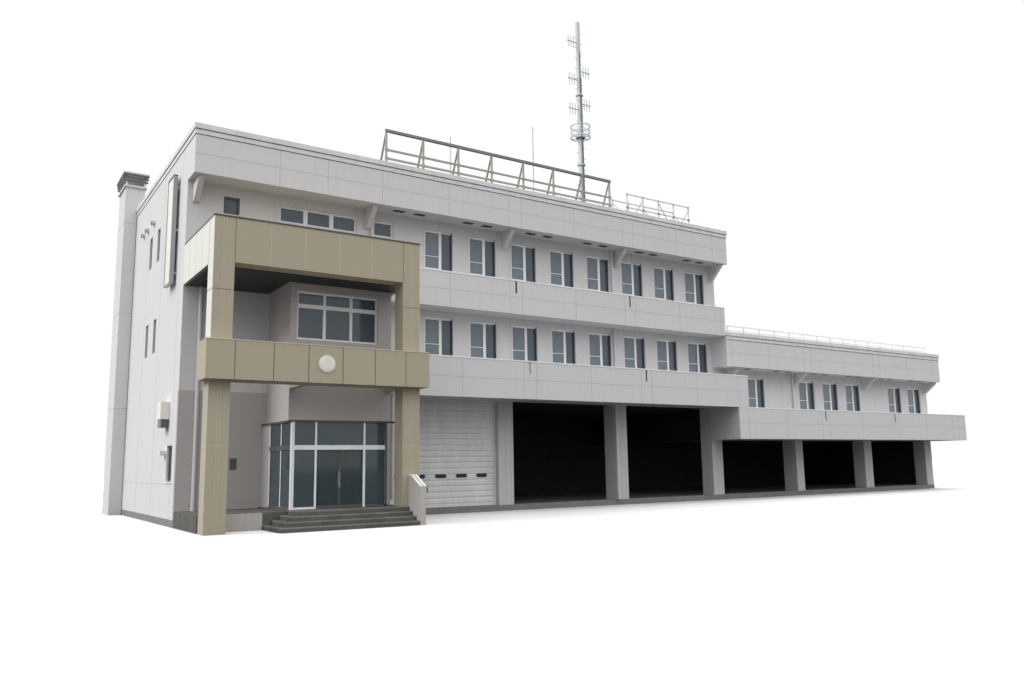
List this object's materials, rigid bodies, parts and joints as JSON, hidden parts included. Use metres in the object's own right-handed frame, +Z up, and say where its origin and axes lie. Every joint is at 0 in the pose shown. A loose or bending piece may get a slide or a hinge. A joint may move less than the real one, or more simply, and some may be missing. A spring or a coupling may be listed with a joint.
{
  "type": "fire station building scale model",
  "caption": "Scale model of a fire station with open engine bays, a roller shutter, a portal entrance with sliding doors, banded upper floors and roof masts.",
  "frame": {"origin": "centre of the main block in plan, on the underside of the floor slab", "axes": "+X along the street front to the right, +Y into the building, +Z up"},
  "size_m": [26.565, 9.75, 13.84],
  "materials": {
    "wall_panel": "matte painted concrete panels",
    "portal_panel": "matte stone-like panels",
    "concrete_floor": "trowelled concrete",
    "roof_membrane": "grey weathered roof covering",
    "white_coping": "satin",
    "stone_paving": "flamed stone",
    "window_frame": "satin white coating",
    "window_glass": "clear",
    "shutter_steel": "satin",
    "pipe_paint": "satin",
    "galvanised_steel": "weathered galvanised",
    "white_sheet": "satin"
  },
  "bodies": {
    "building": {"ground_slab": "concrete_floor", "bay_columns": "wall_panel", "second_floor_slab": "concrete_floor", "third_floor_slab": "concrete_floor", "main_roof_slab": "roof_membrane", "wing_floor_slab": "concrete_floor", "wing_roof_slab": "roof_membrane", "front_wall": "wall_panel", "entrance_wall": "wall_panel", "left_wall": "wall_panel", "rear_wall": "wall_panel", "right_wall": "wall_panel", "wing_front_wall": "wall_panel", "wing_end_wall": "wall_panel", "wing_rear_wall": "wall_panel", "second_floor_band": "wall_panel", "third_floor_band": "wall_panel", "wing_band": "wall_panel", "roof_fascia": "wall_panel", "wing_fascia": "wall_panel", "copings": "white_coping", "eaves_brackets": "wall_panel", "portal_columns": "portal_panel", "portal_beam": "portal_panel", "portal_canopy": "portal_panel", "entrance_bay_walls": "wall_panel", "entrance_steps": "stone_paving", "steps_side_wall": "portal_panel", "vestibule_frame": "window_frame", "vestibule_glass": "window_glass", "roller_shutter": "shutter_steel", "main_window_frames": "window_frame", "wing_window_frames": "window_frame", "window_glass": "window_glass", "wing_window_glass": "window_glass", "downpipes": "pipe_paint", "roof_sign_frame": "galvanised_steel", "radio_mast": "galvanised_steel", "antennas": "galvanised_steel", "roof_pipe_frame": "galvanised_steel", "wing_handrail": "galvanised_steel", "chimney": "wall_panel", "side_sign": "white_sheet"},
    "left_leaf": {"door_leaf_left": "window_glass"},
    "right_leaf": {"door_leaf_right": "window_glass"}
  },
  "joints": [
    {"name": "left_leaf_slide", "type": "slide", "parent": "building", "child": "left_leaf", "axis": [-1, 0, 0], "range_m": [0, 0.42]},
    {"name": "right_leaf_slide", "type": "slide", "parent": "building", "child": "right_leaf", "axis": [1, 0, 0], "range_m": [0, 0.42]}
  ],
  "couplings": [
    {"joint": "right_leaf_slide", "follows": "left_leaf_slide", "ratio": 1}
  ]
}
